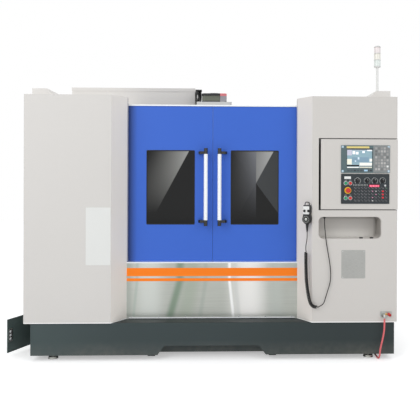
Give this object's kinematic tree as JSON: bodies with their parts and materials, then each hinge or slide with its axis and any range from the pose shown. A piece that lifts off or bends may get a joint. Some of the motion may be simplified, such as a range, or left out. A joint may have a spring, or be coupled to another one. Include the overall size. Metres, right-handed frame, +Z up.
{
  "type": "cnc machining center",
  "caption": "Vertical machining centre with blue sliding doors, swivelling control console, hand pendant and umbrella tool magazine.",
  "frame": {"origin": "on the floor, at the middle of the footprint, below the seam of the doors", "axes": "+X to the operator's right, +Y into the machine away from the operator, +Z up"},
  "size_m": [3.3546, 2.3853, 2.64],
  "materials": {
    "hood_paint": "light warm grey powder coat",
    "pale_paint": "pale grey paint",
    "door_paint": "blue paint",
    "dark_paint": "dark green-grey paint",
    "casting_paint": "grey casting paint",
    "stainless": "brushed stainless sheet",
    "ground_steel": "ground and hardened steel",
    "cast_table": "machined cast iron",
    "black_paint": "black satin paint",
    "motor_black": "black motor paint",
    "chrome_plate": "plated steel",
    "brass_fitting": "plain brass",
    "tinted_glass": "dark laminated pane",
    "handle_white": "white coated tube",
    "panel_black": "black textured plastic",
    "display_teal": "grey-teal plastic with screen",
    "red_plastic": "red plastic",
    "green_plastic": "green plastic",
    "black_plastic": "black plastic",
    "grey_plastic": "grey plastic",
    "cord_rubber": "black cord jacket",
    "hose_red": "pink-red hose",
    "lamp_plastic": "translucent lamp tiers"
  },
  "bodies": {
    "frame": {"bed": "casting_paint", "levelling_feet": "ground_steel", "base_skirt": "dark_paint", "coolant_tank": "black_paint", "left_hood": "hood_paint", "right_hood": "hood_paint", "left_side_cover": "hood_paint", "right_side_cover": "hood_paint", "front_apron": "stainless", "door_header": "pale_paint", "splash_panels": "stainless", "column": "casting_paint", "guide_rails": "ground_steel", "axis_motors": "motor_black", "magazine_cover": "pale_paint", "magazine_bracket": "casting_paint", "electrical_cabinet": "pale_paint", "air_inlet_plate": "stainless", "mpg_housing": "grey_plastic", "mpg_lead": "cord_rubber", "mpg_coil": "cord_rubber", "mpg_gland": "black_plastic", "air_hose": "hose_red", "air_coupling": "brass_fitting", "signal_tower": "lamp_plastic"},
    "saddle_body": {"saddle": "casting_paint", "x_motor": "motor_black"},
    "table_body": {"table": "cast_table"},
    "y_screw_body": {"y_screw": "ground_steel"},
    "x_screw_body": {"x_screw": "ground_steel"},
    "z_screw_body": {"z_screw": "ground_steel"},
    "head_body": {"spindle_head": "casting_paint", "spindle_motor": "motor_black", "cable_bracket": "black_paint"},
    "spindle_body": {"spindle": "ground_steel"},
    "carousel_body": {"tool_disc": "ground_steel", "gripper_claws": "chrome_plate"},
    "left_door_body": {"left_door": "door_paint", "left_window": "tinted_glass", "left_handle": "handle_white"},
    "right_door_body": {"right_door": "door_paint", "right_window": "tinted_glass", "right_handle": "handle_white"},
    "console_body": {"console_box": "hood_paint", "display_unit": "display_teal", "operator_panel": "panel_black"},
    "estop_body": {"estop_button": "red_plastic"},
    "power_on_body": {"power_on_button": "green_plastic"},
    "power_off_body": {"power_off_button": "red_plastic"},
    "cycle_start_body": {"cycle_start_button": "green_plastic"},
    "feed_hold_body": {"feed_hold_button": "red_plastic"},
    "mode_knob_body": {"mode_knob": "black_plastic"},
    "feed_knob_body": {"feed_knob": "black_plastic"},
    "rapid_knob_body": {"rapid_knob": "black_plastic"},
    "spindle_knob_body": {"spindle_knob": "black_plastic"},
    "mpg_wheel_body": {"mpg_wheel": "black_plastic"},
    "mpg_axis_body": {"mpg_axis_knob": "black_plastic"},
    "mpg_rate_body": {"mpg_rate_knob": "black_plastic"},
    "side_door_body": {"side_door": "dark_paint"},
    "cabinet_door_body": {"cabinet_door": "pale_paint"}
  },
  "joints": [
    {"name": "y_slide", "type": "slide", "parent": "frame", "child": "saddle_body", "axis": [0, 1, 0], "range_m": [-0.3, 0.3]},
    {"name": "x_slide", "type": "slide", "parent": "saddle_body", "child": "table_body", "axis": [1, 0, 0], "range_m": [-0.55, 0.55]},
    {"name": "z_slide", "type": "slide", "parent": "frame", "child": "head_body", "axis": [0, 0, 1], "range_m": [-0.42, 0.18]},
    {"name": "y_screw_spin", "type": "hinge", "parent": "frame", "child": "y_screw_body", "pos_m": [0, -0.25, 0.52], "axis": [0, 1, 0], "continuous": true},
    {"name": "x_screw_spin", "type": "hinge", "parent": "saddle_body", "child": "x_screw_body", "pos_m": [0, -0.25, 0.758], "axis": [1, 0, 0], "continuous": true},
    {"name": "z_screw_spin", "type": "hinge", "parent": "frame", "child": "z_screw_body", "pos_m": [0, 0.445, 1.5], "axis": [0, 0, 1], "continuous": true},
    {"name": "spindle_spin", "type": "hinge", "parent": "head_body", "child": "spindle_body", "pos_m": [0, -0.25, 1.6], "axis": [0, 0, 1], "continuous": true},
    {"name": "carousel_spin", "type": "hinge", "parent": "frame", "child": "carousel_body", "pos_m": [-0.79, 0.07, 1.6], "axis": [0, 0, 1], "continuous": true},
    {"name": "left_door_slide", "type": "slide", "parent": "frame", "child": "left_door_body", "axis": [-1, 0, 0], "range_m": [0, 0.56]},
    {"name": "right_door_slide", "type": "slide", "parent": "frame", "child": "right_door_body", "axis": [1, 0, 0], "range_m": [0, 0.56]},
    {"name": "console_swivel", "type": "hinge", "parent": "frame", "child": "console_body", "pos_m": [0.868, -1.145, 1.2361], "axis": [0, 0, -1], "range_deg": [0, 90]},
    {"name": "estop_press", "type": "slide", "parent": "console_body", "child": "estop_body", "axis": [0, 1, 0], "range_m": [0, 0.006], "stiffness_N_per_m": 1500},
    {"name": "power_on_press", "type": "slide", "parent": "console_body", "child": "power_on_body", "axis": [0, 1, 0], "range_m": [0, 0.004], "stiffness_N_per_m": 500},
    {"name": "power_off_press", "type": "slide", "parent": "console_body", "child": "power_off_body", "axis": [0, 1, 0], "range_m": [0, 0.004], "stiffness_N_per_m": 500},
    {"name": "cycle_start_press", "type": "slide", "parent": "console_body", "child": "cycle_start_body", "axis": [0, 1, 0], "range_m": [0, 0.004], "stiffness_N_per_m": 500},
    {"name": "feed_hold_press", "type": "slide", "parent": "console_body", "child": "feed_hold_body", "axis": [0, 1, 0], "range_m": [0, 0.004], "stiffness_N_per_m": 500},
    {"name": "mode_turn", "type": "hinge", "parent": "console_body", "child": "mode_knob_body", "pos_m": [1.171, -1.159, 1.45], "axis": [0, 1, 0], "range_deg": [-150, 150]},
    {"name": "feed_turn", "type": "hinge", "parent": "console_body", "child": "feed_knob_body", "pos_m": [1.249, -1.159, 1.45], "axis": [0, 1, 0], "range_deg": [-150, 150]},
    {"name": "rapid_turn", "type": "hinge", "parent": "console_body", "child": "rapid_knob_body", "pos_m": [1.311, -1.159, 1.45], "axis": [0, 1, 0], "range_deg": [-60, 60]},
    {"name": "spindle_turn", "type": "hinge", "parent": "console_body", "child": "spindle_knob_body", "pos_m": [1.375, -1.159, 1.45], "axis": [0, 1, 0], "range_deg": [-120, 120]},
    {"name": "mpg_wheel_spin", "type": "hinge", "parent": "frame", "child": "mpg_wheel_body", "pos_m": [0.7575, -1.16331, 1.139], "axis": [-0.5, -0.866, 0], "continuous": true},
    {"name": "mpg_axis_turn", "type": "hinge", "parent": "frame", "child": "mpg_axis_body", "pos_m": [0.74278, -1.15481, 1.206], "axis": [-0.5, -0.866, 0], "range_deg": [-60, 60]},
    {"name": "mpg_rate_turn", "type": "hinge", "parent": "frame", "child": "mpg_rate_body", "pos_m": [0.77222, -1.17181, 1.206], "axis": [-0.5, -0.866, 0], "range_deg": [-60, 60]},
    {"name": "side_door_swing", "type": "hinge", "parent": "frame", "child": "side_door_body", "pos_m": [-1.454, -0.538, 0.0843], "axis": [0, 0, -1], "range_deg": [-25, 65]},
    {"name": "cabinet_door_swing", "type": "hinge", "parent": "frame", "child": "cabinet_door_body", "pos_m": [1.486, 1.18, 0.5463], "axis": [0, 0, -1], "range_deg": [0, 110]}
  ],
  "couplings": [
    {"joint": "y_screw_spin", "follows": "y_slide", "rad_per_m": 523.6},
    {"joint": "x_screw_spin", "follows": "x_slide", "rad_per_m": 523.6},
    {"joint": "z_screw_spin", "follows": "z_slide", "rad_per_m": 523.6}
  ]
}
